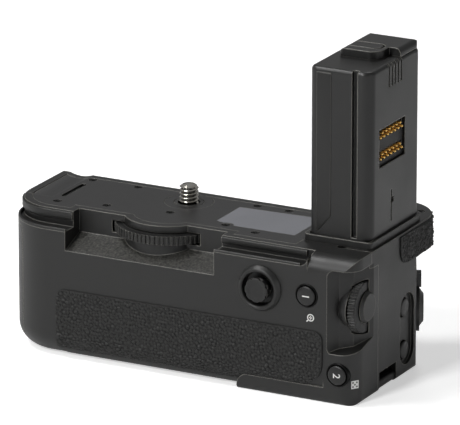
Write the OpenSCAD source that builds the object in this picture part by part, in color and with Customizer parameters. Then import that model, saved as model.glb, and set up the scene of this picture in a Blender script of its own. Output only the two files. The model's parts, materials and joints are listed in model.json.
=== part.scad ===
// Camera battery grip: body with battery tray, plug-in stem and vertical-hold controls.
// Origin: camera screw axis on the top mounting face. +X to the stem end, -Y to the rear, +Z up.

/* [Body] */
// Left end from the camera screw
body_left = 53; // [50:0.5:58]
// Right end from the camera screw
body_right = 77; // [75:0.5:82]
// Rear face from the camera screw
body_rear = 32.6; // [31:0.2:36]
// Front edge of the top from the camera screw
top_front = 10.8; // [9:0.2:13]
// Front of the lower hand hold from the camera screw
hold_front = 28; // [26.5:0.5:34]
// Body height
body_h = 49; // [48:0.5:58]
// Room and wall over the battery bay inside the front hand hold
hold_roof = 3.6; // [3:0.1:5]
// Shell wall
wall = 2; // [1.6:0.1:2.4]
// Rear left corner radius
rear_left_r = 17; // [12:0.5:20]
// Rear right corner radius
rear_right_r = 6; // [4.5:0.5:7]
// Radius of the bottom edge at the rear and the left end
bottom_r = 8; // [6:0.5:9]
// Radius of the bottom edge at the stem end and along the lip
foot_r = 1.5; // [1:0.25:2]
// Where front and rear shells meet, behind the camera screw
split_y = 15.5; // [14.5:0.25:16.5]

/* [Finger pocket] */
// Pocket to the left of the camera screw
pocket_left = 28.5; // [24:0.5:32]
// Pocket to the right of the camera screw
pocket_right = 26.2; // [23:0.5:28]
// Pocket back wall behind the camera screw
pocket_back = 22.8; // [22:0.2:25]
// Pocket depth at the back wall
pocket_z = 8; // [7:0.25:10]
// Pocket depth at the rear face
pocket_out_z = 11.8; // [10.5:0.2:13]
// Upper rear edge behind the camera screw
lip_y = 26.7; // [25.5:0.2:29]
// Height of the upper rear edge, left of the pocket
lip_left_h = 5.4; // [4.5:0.1:7]
// Height of the upper rear edge, right of the pocket
lip_right_h = 3.9; // [3:0.1:6]

/* [Camera screw and wheel] */
// Screw thread diameter (1/4 inch)
screw_d = 6.35; // [6.3:0.01:6.4]
// Screw above the mounting face
screw_out = 5.9; // [4.5:0.1:7]
// Thread pitch
screw_pitch = 1.27; // [1:0.01:1.5]
// Wheel outer radius
wheel_r = 18.2; // [17.8:0.1:18.6]
// Wheel thickness
wheel_t = 2.8; // [2.4:0.1:3.2]
// Ridges round the wheel
wheel_ridges = 72; // [48:2:80]
// Gear module
gear_m = 0.5; // [0.48:0.01:0.51]
// Teeth inside the wheel
ring_teeth = 65; // [64:1:66]
// Teeth of the screw pinion
pinion_teeth = 13; // [12:1:14]

/* [Stem] */
// Stem left side from the camera screw
stem_x = 53; // [52.6:0.2:54]
// Stem width
stem_w = 22; // [20:0.5:22.5]
// Stem rear face behind the camera screw
stem_rear = 18; // [15:0.5:18.5]
// Stem depth
stem_d = 36; // [32:0.5:37]
// Stem height
stem_h = 61.2; // [50:0.1:66]

/* [Tray] */
// Battery length
cell_l = 51.7; // [50:0.1:52]
// Battery width
cell_w = 38.7; // [36:0.1:39.2]
// Battery thickness
cell_t = 22.7; // [21:0.1:23.2]
// Tray wall
tray_wall = 1; // [0.8:0.1:1.2]
// Play between the tray and its chassis
tray_gap = 0.3; // [0.2:0.05:0.4]
// Left end cap, from the body's left end
cap_l = 6.8; // [6:0.2:7.4]

/* [Controls] */
// Play round buttons
btn_gap = 0.35; // [0.25:0.05:0.45]
// Running clearance of shafts, on the radius
run_gap = 0.05; // [0.03:0.01:0.08]
// Press travel of the small buttons
btn_travel = 0.7; // [0.4:0.1:0.9]
// Shutter button travel
shutter_travel = 1.2; // [0.8:0.1:1.4]
// Joystick from the camera screw
joy_x = 43; // [41:0.5:44]
// Joystick below the mounting face
joy_z = 13.6; // [13.4:0.1:14.4]
// Rear dial radius
dial_r = 8.6; // [8.2:0.1:8.8]
// Front dial radius
front_dial_r = 5.5; // [5:0.1:5.8]

/* [Hidden] */
$fn = 64;
eps = 0.01;
pad_top = -body_h + 24.1;
lip_x = 34.5;
lip_z = -body_h + 5.3;
seam = 0.15;
wheel_c = (ring_teeth - pinion_teeth) * gear_m / 2;
wheel_top = -2.7;
wheel_bot = wheel_top - wheel_t;
slot_r = wheel_r + 0.7;
slot_top = wheel_top + 0.4;
slot_bot = wheel_bot - 0.8;
bulge_r = wheel_r - 3;
top_round = body_rear - lip_y;
cap_x = -body_left + cap_l;
cap_top = -7;
end_wall = 1.5;
face_n = [0.8944, 0.4472, 0];
facet_ang = 26.565;
facet_y = 12.5;
facet_c = face_n[0] * body_right + face_n[1] * facet_y;
grip_r = 14;
grip_c = [body_right - grip_r, 20];
grip_h = 10.6;
tray_head = 3.3;
bay_l = cell_l + 0.3;
bay_x0 = cap_x + tray_head + tray_wall;
bay_x1 = bay_x0 + bay_l + tray_wall;
tray_x1 = bay_x1 + bay_l + tray_wall;
tray_yc = 1;
tray_w = cell_w + 0.4 + 2 * tray_wall;
tray_y0 = tray_yc - tray_w / 2;
tray_y1 = tray_yc + tray_w / 2;
chassis_t = 0.8;
tray_z0 = -body_h + 5.4 + chassis_t + tray_gap;
tray_z1 = tray_z0 + tray_wall + cell_t;
roof_gap = 0.4;
chassis_z1 = tray_z1 + roof_gap + chassis_t;
hold_drop = -chassis_z1 - hold_roof;
board_y = -body_rear + 5;
board_t = 1.6;
dial_c = [0, -body_rear + 10.4, -18];
dial_x = body_right - 3.8;
dial_t = 2.6;
strap_x = body_right - 2.5;
strap_z = -body_h + 3.8;
strap_r = 0.9;

module corner(x, y, sx, sy, r) {
    if (r > 0) difference() {
        translate([min(x - sx, x + sx * r), min(y - sy, y + sy * r)]) square(r + 1);
        translate([x + sx * r, y + sy * r]) circle(r);
    }
}

module rbox(x0, y0, x1, y1, r) {
    difference() {
        translate([x0, y0]) square([x1 - x0, y1 - y0]);
        corner(x0, y0, 1, 1, r[0]);
        corner(x1, y0, -1, 1, r[1]);
        corner(x1, y1, -1, -1, r[2]);
        corner(x0, y1, 1, -1, r[3]);
    }
}

module box2(a, b) {
    translate(a) square(b - a);
}

module box(a, b) {
    translate(a) cube(b - a);
}

module along_x(x0, x1) {
    translate([x0, 0, 0]) rotate([90, 0, 90]) linear_extrude(x1 - x0) children();
}

module along_y(y0, y1) {
    translate([0, y1, 0]) rotate([90, 0, 0]) linear_extrude(y1 - y0) children();
}

module along_z(z0, z1) {
    translate([0, 0, z0]) linear_extrude(z1 - z0) children();
}

module rod_x(x0, x1, r) {
    translate([x0, 0, 0]) rotate([0, 90, 0]) cylinder(h = x1 - x0, r = r);
}

module rod_y(y0, y1, r) {
    translate([0, y1, 0]) rotate([90, 0, 0]) cylinder(h = y1 - y0, r = r);
}

module rod_z(z0, z1, r) {
    translate([0, 0, z0]) cylinder(h = z1 - z0, r = r);
}

module cone_x(x0, x1, r0, r1) {
    translate([x0, 0, 0]) rotate([0, 90, 0]) cylinder(h = x1 - x0, r1 = r0, r2 = r1);
}

// Outline of the lower body seen from above, d inside the outer face
module low_plan(d) {
    difference() {
        rbox(-body_left + d, -body_rear + d, body_right - d, hold_front - d,
            [rear_left_r - d, rear_right_r - d, 0, 13 - d]);
        rotate(facet_ang) translate([facet_c - d, -50]) square([60, 150]);
    }
}

// Outline of the upper body seen from above
module top_plan(d) {
    rbox(-body_left + d, -body_rear + d, body_right - d, top_front - d,
        [rear_left_r - d, rear_right_r - d, 0, 0]);
    translate([grip_c[0] - grip_r + d, 0]) square([2 * (grip_r - d), grip_c[1]]);
    translate([grip_c[0], grip_c[1]]) circle(grip_r - d);
}

// Everything taken out of the plain body from outside, grown by d
module cuts(d) {
    difference() {
        box([-body_left - 9, -body_rear - 9, -lip_left_h - d], [-pocket_left + 1 + eps, -12, 9]);
        along_z(-20, 20) rbox(-body_left + d, -lip_y + d, 0, 20, [14.7 - d, 0, 0, 0]);
    }
    along_y(-body_rear - 9, -lip_y + d)
        rbox(pocket_right - 1 - eps, -lip_right_h - d, body_right - 17 + d, 9, [0, 3 + d, 0, 0]);
    difference() {
        along_x(-pocket_left - d, pocket_right + d) polygon([[-pocket_back + d, 9],
            [-pocket_back + d, -pocket_z - d], [-body_rear, -pocket_out_z - d],
            [-body_rear - 9, -pocket_out_z - 3.5 - d], [-body_rear - 9, 9]]);
        translate([0, -wheel_c, 0]) rod_z(-16, 10, bulge_r - d);
    }
    difference() {
        box([body_right - 17, -body_rear - 9, -top_round - d], [body_right + 9, -lip_y + d, 9]);
        translate([0, -lip_y + d, -top_round - d]) rod_x(body_right - 20, body_right + 10, top_round);
    }
    intersection() {
        along_z(-40, 0) dial_recess(d);
        along_x(0, 90) polygon([[-body_rear - 9, -4 + d], [-body_rear - 9, -33 - d], [-body_rear, -32 - d],
            [-body_rear + 16, -28 - d], [-body_rear + 16, -4 + d]]);
        along_y(-90, 0) rbox(body_right - 10 - d, -32.5 - d, 90, -4 + d, [2.5, 0, 0, 2.5]);
    }
    box([body_right - 8.5 - d, -14.5 - d, -body_h - 9], [body_right + 9, -2 + d, -body_h + 6.5 + d]);
    along_x(end_floor - d, body_right + 9) stadium(end_y + 0.8, end_zs[0] - 0.3, end_zs[1] + 0.3, 5.2 + d);
}

module dial_recess(d) {
    polygon(concat([[body_right - 10 - d, -body_rear]],
        d == 0 ? [[body_right - 7.4, -body_rear + 3.7]] : [],
        [[body_right - 3.4 - d, -body_rear + 6.3 + d], [body_right - d, -body_rear + 13.6 + d],
        [body_right + 9, -body_rear + 13.6 + d], [body_right + 9, -body_rear - 9],
        [body_right - 10 - d, -body_rear - 9]]));
}

module stadium(y, z0, z1, r) {
    translate([y, z0]) circle(r);
    translate([y, z1]) circle(r);
    translate([y - r, z1]) square([2 * r, z0 - z1]);
}

// Lower body with its rounded bottom edges; the lip at its lower right keeps a sharper edge
module hold(d) {
    difference() {
        intersection() {
            along_z(-body_h + d, -hold_drop - d) low_plan(d);
            along_y(-60, 60)
                rbox(-body_left + d, -body_h + d, body_right - d, 20, [bottom_r - d, foot_r - d, 0, 0]);
            union() {
                along_x(-90, 90) hold_profile(bottom_r, d);
                if (d == 0) intersection() {
                    along_x(lip_x, 90) hold_profile(foot_r, 0);
                    along_y(-60, 0) lip_outline();
                }
            }
        }
        rear_left_edge(d);
    }
}

module hold_profile(r, d) {
    rbox(-body_rear + d, -body_h + d, hold_front - d, 20, [r - d, 9 - d, 0, 0]);
}

// The lip under the right half of the rear pad, seen from behind
module lip_outline() {
    rbox(lip_x, -body_h - 1, body_right + 1, lip_z, [0, 0, 0, 4]);
    box2([body_right - 11.2, -body_h - 1], [body_right + 1, 20]);
}

// What the rounded bottom edge leaves off round the rear left corner
module rear_left_edge(d) {
    ring = rear_left_r - bottom_r;
    translate([-body_left + rear_left_r, -body_rear + rear_left_r, -body_h + bottom_r]) difference() {
        box([-rear_left_r - 1, -rear_left_r - 1, -bottom_r - 1], [0, 0, 0]);
        rod_z(-bottom_r - 2, 1, ring);
        rotate_extrude() translate([ring, 0]) circle(bottom_r - d);
    }
}

module body(d) {
    difference() {
        union() {
            hold(d);
            along_z(-hold_drop - 3 * wall, -d)
                rbox(-body_left + d, -body_rear + d, body_right - d, top_front - d,
                    [rear_left_r - d, rear_right_r - d, 0, 0]);
            along_z(-grip_h, -d) top_plan(d);
            translate([grip_c[0], grip_c[1], -hold_drop - 2])
                cylinder(h = hold_drop + 2 - grip_h, r1 = grip_r - 6 - d, r2 = grip_r - d);
            box([grip_c[0] - grip_r + d, 0, -hold_drop - d - 1], [body_right - d, facet_y - d - 0.5, -d]);
        }
        cuts(d);
    }
}

module plate_outline(g) {
    difference() {
        union() {
            rbox(-body_left + 2.7 + g, -lip_y + 2.7 + g, 51.4 - g, top_front - 2.7 - g, [12 - g, 0, 0, 0]);
            translate([0, -wheel_c]) circle(bulge_r - 3 - g);
        }
        difference() {
            translate([-pocket_left - 2.6 - g, -40])
                square([pocket_left + pocket_right + 5.2 + 2 * g, 40 - pocket_back + 2.4 + g]);
            translate([0, -wheel_c]) circle(bulge_r - 3 - g);
        }
    }
}

module end_scoop() {
    translate([-body_left + 6.8, 0, 11.2]) rod_y(-16, 40, 12);
}

module at_facet() {
    translate(shutter_c) rotate([0, 0, facet_ang]) children();
}

shutter_c = [body_right - 8.7 * face_n[1], facet_y + 8.7 * face_n[0], -body_h + 18];

module rear_zone() {
    difference() {
        box([-90, -90, -90], [90, -split_y, 90]);
        box([body_right - 9, -split_y - 5, -5.5], [90, -split_y + 1, 90]);
    }
}

button_one_x = joy_x + 16.8;
button_one_z = -13.6;
button_two_x = body_right - 6;
button_two_z = -body_h + 10.3;
button_one_r = 3.2;
button_two_r = 3.2;
end_r = 3;
end_y = 5;
end_zs = [-body_h + 22.8, -body_h + 8.2];
shutter_r = 6.2;
ring_r = 7.9;

module rear_hole(x, z, r) {
    translate([x, 0, z]) rod_y(-body_rear - 5, -body_rear + wall + 3, r);
}

module shell_full() {
    difference() {
        union() {
            difference() {
                body(0);
                intersection() {
                    body(wall);
                    box([cap_x + end_wall, -90, -90], [90, 90, 90]);
                }
            }
            intersection() {
                translate(dial_c) cone_x(dial_x - 5.2, dial_x - 0.3, 5.4, 7.2);
                box([0, -90, -90], [90, -split_y - 0.5, 0]);
            }
            translate(dial_c) cone_x(dial_x + dial_t + 0.3, body_right + 0.2, 5.4, 4.4);
            translate([0, 0, -body_h + eps]) rod_z(0, 5.2, 8);
        }
        box([-body_left - 9, -90, -90], [cap_x, 90, cap_top]);
        box([-body_left - 9, tray_y0 - tray_gap, tray_z0 - tray_gap],
            [cap_x + end_wall + eps, tray_y1 + tray_gap, tray_z1 + roof_gap]);
        along_z(-wall - 1, 9) plate_outline(0);
        end_scoop();
        translate([0, -wheel_c, 0]) rod_z(slot_bot, slot_top, slot_r);
        translate([joy_x, 0, -joy_z]) rod_y(-body_rear - 5, -body_rear + wall + 3, 6.5);
        rear_hole(button_one_x, button_one_z, button_one_r + btn_gap);
        rear_hole(button_two_x, button_two_z, button_two_r + btn_gap);
        translate(dial_c) rod_x(dial_x - 0.3, dial_x + dial_t + 0.3, dial_r + 0.5);
        translate(dial_c) rod_x(dial_x - 3.5, dial_x + dial_t + 1, 1.5);
        for (z = end_zs) translate([0, end_y, z]) rod_x(body_right - wall - 3, body_right + 1, end_r + btn_gap);
        at_facet() rod_x(-wall - 1, 1, shutter_r + btn_gap);
        at_facet() rod_x(-0.8, 1, ring_r + 0.3);
        at_facet() rod_x(-1.4, 1, shutter_r + 1.3);
        translate(front_dial_c)
            rod_x(front_dial_x - 0.4, front_dial_x + front_dial_t + 0.4, front_dial_r + 0.5);
        rod_z(-body_h - 1, -body_h + 6, 5);
        for (p = shell_screw_at) translate([p[0], p[1], -body_h - 1]) rod_z(0, 1 + 1.6, 2.3);
        for (p = shell_screw_at) translate([p[0], p[1], -body_h - 1]) rod_z(0, 9, 1.1);
        for (p = rim_screws) translate([p[0], p[1], -0.6]) rod_z(0, 2, 1.5);
        for (p = rim_screws) translate([p[0], p[1], -wall - 1]) rod_z(0, 4, 0.8);
        box([stem_x + 8.5, -10, -wall - 1], [stem_x + 18.5, 8, 1]);
        translate([strap_x, 0, strap_z]) rod_y(-15.4, -1.1, strap_r);
    }
}

front_dial_t = 2.2;
front_shaft_r = 1;
front_dial_x = tray_x1 + 1.1;
front_dial_c = [0, hold_front - front_dial_r + 2.4, -hold_drop - front_dial_r - 1.5];
shell_screw_at = [[-36, -24], [-36, 20], [62, -24], [60, 20]];
rim_screws = [[body_right - 11.1, -19.8], [body_right - 5.2, 25.8]];
plate_screw_at = [[-21.9, -16], [-22.2, 6.2], [0, -wheel_c], [22.2, 6.2], [22.3, -16.6], [34.5, -19.3],
    [33.8, 6.1], [-38.6, -19.2], [-39.3, 6.2]];

module rear_shell() {
    color("#2f2f2e") intersection() {
        shell_full();
        rear_zone();
    }
}

// Lower front of the body, which carries the hand hold
module hold_zone() {
    box([-90, top_front, -90], [90, 90, -hold_drop]);
}

// Flat bottom cover under the tray, round the tripod socket
module base_zone() {
    box([-90, -split_y, -90], [base_end, top_front, tray_z0 - tray_gap + eps]);
}

base_end = body_right - 11;

module front_shell() {
    color("#333332") difference() {
        shell_full();
        rear_zone();
        hold_zone();
        base_zone();
    }
}

module hold_shell() {
    color("#323231") intersection() {
        shell_full();
        hold_zone();
    }
}

module base_shell() {
    color("#2d2d2c") intersection() {
        shell_full();
        base_zone();
    }
}

module top_plate() {
    color("#4a4a4a") difference() {
        along_z(-wall, 0) plate_outline(seam);
        end_scoop();
        rod_z(-1.2, 5, 8.2);
        rod_z(-5, 5, 7);
        for (p = plate_screw_at) translate([p[0], p[1], -0.6]) rod_z(0, 2, 1.5);
        for (p = plate_screw_at) translate([p[0], p[1], -5]) rod_z(0, 6, 0.8);
        along_z(-0.8, 1) rbox(-40.6, -13.8, -38.6, 1.1, [0.9, 0.9, 0.9, 0.9]);
        along_z(-0.4, 1) label_outline(0.1);
    }
}

module label_outline(g) {
    difference() {
        polygon([[17.5 - g, -13.6 - g], [24 - g, -16 - g], [47 + g, -16 - g], [47 + g, 1 + g],
            [44 + g, 3.6 + g], [17.5 - g, 2.4 + g]]);
        translate([22.3, -16.6]) circle(2.6 - g);
    }
}

module label_plate() {
    color("#6f7073") along_z(-0.4, 0) label_outline(0);
}

module pad_skin(deep, proud) {
    difference() {
        hold(-proud);
        hold(deep);
    }
}

// Rear pad seen from behind, with a bare lip of the shell left at its lower right
module pad_outline() {
    rbox(-32.5, -body_h + 0.4, lip_x, pad_top, [4, 2, 0, 4]);
    rbox(lip_x - 5, lip_z, body_right - 11.2, pad_top, [0, 8, 3, 0]);
    translate([lip_x, lip_z]) mirror([0, 1]) difference() {
        square(3);
        translate([3, 3]) circle(3);
    }
}

module rear_pad() {
    color("#26282a") intersection() {
        pad_skin(0, 0.5);
        along_y(-50, -20) pad_outline();
    }
}

module front_pad() {
    color("#26282a") intersection() {
        pad_skin(0, 0.6);
        along_y(12, 50) rbox(cap_x + 4, -body_h + 6, 58, -hold_drop - 3, [4, 4, 4, 4]);
    }
}

module grip_pad() {
    color("#26282a") intersection() {
        difference() {
            along_z(-grip_h, -0.8) top_plan(-0.5);
            along_z(-20, 9) top_plan(0);
        }
        along_x(body_right - 24, body_right + 5) rbox(0, -grip_h, 50, 9, [5, 0, 0, 0]);
    }
}

module plate_screws() {
    color("#1c1c1c") {
        for (p = plate_screw_at) translate([p[0], p[1], 0]) small_screw();
        for (p = rim_screws) translate([p[0], p[1], 0]) small_screw();
    }
}

module small_screw() {
    difference() {
        union() {
            rod_z(-0.6, -0.1, 1.4);
            rod_z(-4, -0.6 + eps, 0.8);
        }
        box([-0.9, -0.15, -0.35], [0.9, 0.15, 0]);
        box([-0.15, -0.9, -0.35], [0.15, 0.9, 0]);
    }
}

module shell_screws() {
    color("#1c1c1c") for (p = shell_screw_at) translate([p[0], p[1], -body_h]) difference() {
        union() {
            rod_z(0.3, 1.6, 2.1);
            rod_z(1.6 - eps, 5, 1.1);
        }
        box([-1.4, -0.25, 0], [1.4, 0.25, 0.8]);
        box([-0.25, -1.4, 0], [0.25, 1.4, 0.8]);
    }
}

pitch_pinion = pinion_teeth * gear_m / 2;
pitch_ring = ring_teeth * gear_m / 2;
pressure = 25;
tooth_add = 0.42;
tooth_ded = 0.54;
tooth_play = 0.06;
hub_step = 1.1;
ring_bore = pitch_ring - tooth_add - 0.08;

function inv_deg(a) = tan(a) * 180 / PI - a;
function base_r(p) = p * cos(pressure);
function half_deg(z, p, r, play) = 90 / z + play * 180 / PI / p + inv_deg(pressure)
    - (r > base_r(p) ? inv_deg(acos(base_r(p) / r)) : 0);
function polar(r, a) = [r * cos(a), r * sin(a)];
// Outline of a gear with involute flanks; play widens (+) or narrows (-) the teeth
function gear_pts(z, p, root, tip, play) = [for (i = [0:z - 1]) for (k = [0:7])
    let (c = 90 + i * 360 / z, s = k < 4 ? -1 : 1, j = k < 4 ? k : 7 - k, lo = max(root, base_r(p)))
    let (q = root < lo ? (j - 1) / 2 : j / 3, r = j == 0 ? root : lo + (tip - lo) * q)
    polar(r, c + s * half_deg(z, p, r, play))];
function ridge_pts(n, r, deep) = [for (i = [0:n - 1]) for (k = [0:3])
    polar(k == 0 || k == 3 ? r - deep : r, 360 / n * (i + [-0.32, -0.2, 0.2, 0.32][k]))];

module camera_screw() {
    r = screw_d / 2;
    groove = [[0, -0.24], [0.35, -0.08], [0.35, 0.08], [0, 0.24]];
    pin = [[0, -0.5], [r - 0.5, -0.5], [r - 0.5, 0], [r, 0.3],
        for (k = [0:3]) for (q = groove) [r - q[0], 0.8 + k * screw_pitch + q[1]],
        [r, screw_out - 0.7], [r - 0.7, screw_out], [0, screw_out]];
    color("#c9c6c0") {
        rotate_extrude() polygon(pin);
        rod_z(wheel_bot - 0.3, -0.5 + eps, shaft_r);
        rod_z(wheel_bot - 3.7, wheel_bot - 0.3 + eps, journal_r);
    }
}

shaft_r = 2.2;
journal_r = 2;

module screw_pinion() {
    color("#b9a36a") along_z(wheel_bot + 0.1, wheel_top - hub_step - 0.15) difference() {
        polygon(gear_pts(pinion_teeth, pitch_pinion, pitch_pinion - tooth_ded,
            pitch_pinion + tooth_add, -tooth_play));
        circle(shaft_r);
    }
}

module screw_disc() {
    color("#3a3a3a") difference() {
        rod_z(-1.2, -0.05, 8.05);
        rod_z(-2, 1, 3.7);
        difference() {
            rod_z(-0.35, 1, 5.1);
            rod_z(-0.5, 1, 4.8);
        }
    }
}

module screw_bush() {
    color("#a88f55") difference() {
        union() {
            rod_z(wheel_bot - 3.5, wheel_bot - 0.35, 3);
            rod_z(wheel_bot - 3.5, wheel_bot - 1.75, 4);
        }
        rod_z(-30, 0, journal_r + run_gap);
    }
}

module thumb_wheel() {
    color("#1e1e1e") translate([0, -wheel_c, 0]) difference() {
        along_z(wheel_bot, wheel_top) polygon(ridge_pts(wheel_ridges, wheel_r, 0.45));
        along_z(wheel_bot - 1, wheel_top - hub_step)
            polygon(gear_pts(ring_teeth, pitch_ring, pitch_ring - tooth_add, pitch_ring + tooth_ded,
                tooth_play));
        rod_z(wheel_top - hub_step - eps, wheel_top + 1, ring_bore);
    }
}

module wheel_hub() {
    color("#4d4d4d") difference() {
        translate([0, -wheel_c, 0]) {
            rod_z(wheel_top - eps, -wall, 6);
            rod_z(wheel_top - hub_step, wheel_top, ring_bore - run_gap);
            rod_z(wheel_bot - 0.3 - eps, wheel_top - hub_step + eps, ring_bore - 0.45);
            intersection() {
                rod_z(wheel_bot - 1.7, wheel_bot - 0.3, pitch_ring + 0.75);
                box([-30, -5, -30], [30, 30, 0]);
            }
        }
        rod_z(wheel_bot - 0.3, wheel_top - hub_step + 0.1, pitch_pinion + tooth_add + 0.6);
        rod_z(-30, 0, shaft_r + 0.6);
        box([-shaft_r - 0.6, 0, wheel_top - hub_step - 0.1], [shaft_r + 0.6, 20, 0]);
        rod_z(-30, wheel_bot - 0.3 + eps, 3);
        translate([0, -wheel_c, -30]) rod_z(0, 31, 0.8);
    }
}

stem_low = stem_h - 2.8;
stem_wall = 1.6;
stem_x1 = stem_x + stem_w;
stem_y0 = -stem_rear;
stem_y1 = stem_y0 + stem_d;
win = [-11.7, 25.3, 7.1, 38];

module stem_plan(d) {
    near = 1.4 - d / 2;
    far = 2.4 - d / 2;
    rbox(stem_x + d, stem_y0 + d, stem_x1 - d, stem_y1 - d, [near, near, far, far]);
}

module stem_shell() {
    color("#2c2c2b") difference() {
        intersection() {
            along_z(0, stem_low) stem_plan(0);
            along_x(0, 90) rbox(stem_y0, -1, stem_y1, stem_low, [0, 0, 0.8, 1.2]);
            along_y(-50, 50) rbox(stem_x, -1, stem_x1, stem_low, [0, 0, 0.8, 1.2]);
        }
        along_z(-1, stem_low - stem_wall) stem_plan(stem_wall);
        along_x(stem_x1 - 3, stem_x1 + 1) rbox(win[0], win[1], win[2], win[3], [1, 1, 1, 1]);
        box([stem_x1 - 6.7, stem_y0 - 1, 3], [stem_x1 - 5, stem_y0 + 0.9, stem_low + 1]);
        for (k = [0:4]) box([stem_x1 - 0.6, -5.3 + k * 2.2, 50.6], [stem_x1 + 1, -4.3 + k * 2.2, stem_low + 1]);
        box([stem_x1 - 0.7, -3, 5.2], [stem_x1 + 1, -2.2, 15.9]);
        translate([0, -1.8, 12.4]) rod_x(stem_x1 - 0.7, stem_x1 + 1, 0.9);
    }
}

module stem_cap() {
    color("#313130") difference() {
        intersection() {
            along_z(stem_low, stem_h) difference() {
                stem_plan(0.3);
                difference() {
                    box2([stem_x - 1, stem_y0 - 1], [stem_x1 + 1, stem_y0 + 22]);
                    rbox(stem_x + 3.6, stem_y0 + 14.2, stem_x1 - 4.4, stem_y1, [1.2, 4, 0, 0]);
                }
            }
            along_y(-50, 50) rbox(stem_x + 3.6, 0, stem_x1 - 0.3, stem_h, [0, 0, 2, 2]);
            along_x(0, 90) rbox(stem_y0, 0, stem_y1 - 0.3, stem_h, [0, 0, 2.4, 0]);
        }
        along_z(stem_h - 0.9, stem_h + 1) difference() {
            rbox(stem_x + 2, stem_y0 + 17.4, stem_x1 - 5.6, stem_y0 + 24, [0, 3.2, 3.2, 0]);
            rbox(stem_x + 2, stem_y0 + 18.2, stem_x1 - 6.4, stem_y0 + 23.2, [0, 2.4, 2.4, 0]);
        }
    }
}

module stem_collar() {
    color("#2a2a29") difference() {
        along_z(0, 2.4) rbox(stem_x - 1.2, stem_y0 - 1.2, stem_x1 + 1, stem_y1 + 1.2, [1.6, 1.6, 3, 3]);
        along_z(-1, 4) stem_plan(-0.05);
    }
}

module contact_block() {
    color("#232323") difference() {
        along_x(stem_x1 - 4, stem_x1 - 0.9)
            rbox(win[0] + seam, win[1] + seam, win[2] - seam, win[3] - seam, [0.8, 0.8, 0.8, 0.8]);
        for (z = contact_zs) box([stem_x1 - 1.5, win[0] + 1, z - 1.6], [stem_x1, win[2] - 1, z + 1.6]);
    }
}

contact_zs = [win[1] + 3.4, win[3] - 2.2];
contact_step = 1.28;

module stem_contacts() {
    color("#d2a548") for (i = [0:12]) for (k = [0:1])
        translate([0, win[0] + 1.7 + contact_step * i, contact_zs[k] + (i % 2 - 0.5) * 1.5])
            rod_x(stem_x1 - 4.6, stem_x1 - 0.7, 0.42);
}

module stem_board() {
    color("#1f5a3a") box([stem_x1 - 7, -9.6, -1], [stem_x1 - 5.6, 7.5, 46]);
}

module rear_dial() {
    color("#1e1e1e") translate(dial_c) difference() {
        along_x(dial_x, dial_x + dial_t) polygon(ridge_pts(48, dial_r, 0.4));
        rod_x(dial_x - 1, dial_x + dial_t + 1, 1.5 + run_gap);
    }
}

module rear_dial_shaft() {
    color("#b8b8b8") translate(dial_c) rod_x(dial_x - 3.5, dial_x + dial_t + 0.9, 1.5);
}

module front_dial() {
    color("#1e1e1e") translate(front_dial_c) difference() {
        along_x(front_dial_x, front_dial_x + front_dial_t) polygon(ridge_pts(36, front_dial_r, 0.35));
        rod_x(front_dial_x - 1, front_dial_x + front_dial_t + 1, front_shaft_r + run_gap);
    }
}

module front_dial_shaft() {
    front_in = hold_front - wall - front_dial_c[1];
    color("#b8b8b8") translate(front_dial_c) {
        rod_x(front_dial_x - 0.9, front_dial_x + front_dial_t + 0.2, front_shaft_r);
        box([front_dial_x - 1, -1.8, -2.4], [front_dial_x - 0.45, front_in, 2.4]);
    }
}

module dial_encoders() {
    color("#20242a") {
        translate(dial_c) box([dial_x - 7.4, -4, -4], [dial_x - 5.3, 4, 4]);
        translate(front_dial_c) box([front_dial_x - 2.6, -1.8, -2], [front_dial_x - 1, 0.9, 2]);
    }
}

joy_y = -body_rear + 6;
joy_hole = 5.5;
joy_pin_r = 0.6;

module at_joy() {
    translate([joy_x, joy_y, -joy_z]) children();
}

module joystick_bezel() {
    color("#252525") at_joy() difference() {
        union() {
            rod_y(-6.5, -3.6, 6.45);
            translate([0, -6.02, 0]) rotate([90, 0, 0]) cylinder(h = 1.7, r1 = 7.6, r2 = 6.3);
        }
        rod_y(-9, 0, joy_hole);
    }
}

module joystick_module() {
    color("#2a2d30") at_joy() difference() {
        box([-5.7, -3.6, -5.7], [5.7, 4.6, 5.7]);
        box([-4.9, -9, -4.9], [4.9, 3.4, 4.9]);
    }
}

module joystick_carrier() {
    color("#8d9094") at_joy() difference() {
        box([-4.4, -2, -4.4], [4.4, 2, 4.4]);
        box([-3.6, -9, -3.6], [3.6, 9, 3.6]);
        rod_x(-9, 9, joy_pin_r + run_gap);
    }
}

module joystick_yoke() {
    color("#9a9da1") at_joy() {
        difference() {
            box([-3.2, -1, -3.2], [3.2, 1, 3.2]);
            box([-2.4, -9, -2.1], [2.4, 9, 2.1]);
        }
        translate([0, 0, -2.6]) rod_z(0, 5.2, joy_pin_r);
        rod_x(3.1, 4.3, joy_pin_r);
        rod_x(-4.3, -3.1, joy_pin_r);
    }
}

module joystick_cap() {
    color("#1d1d1d") at_joy() difference() {
        union() {
            box([-1.6, -1.4, -1.8], [1.6, 1.4, 1.8]);
            rod_y(-3.5, -1.3, 1.5);
            rod_y(-6.7, -3.4, 2.4);
            rod_y(-9, -6.6, 4.1);
        }
        translate([0, 0, -5]) rod_z(0, 10, joy_pin_r + run_gap);
        for (a = [0:45:315]) rotate([0, a, 0]) translate([4.5, 0, 0]) rod_y(-9.5, -8, 0.9);
        rod_y(-10, -8.6, 1.5);
    }
}

switch_y = board_y - 1;

module rear_button(x, z, r) {
    flange_x = body_right - rear_right_r + 0.7 - x;
    translate([x, 0, z]) {
        rod_y(-body_rear - 0.7, -body_rear + wall + 0.6, r);
        intersection() {
            rod_y(-body_rear + wall + 0.55, -body_rear + wall + 0.95, r + 0.6);
            box([-9, -90, -9], [flange_x, 0, 9]);
        }
        rod_y(-body_rear + wall + 0.9, switch_y - btn_travel - 0.1, 0.9);
    }
}

module button_one() {
    color("#202020") rear_button(button_one_x, button_one_z, button_one_r);
}

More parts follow.
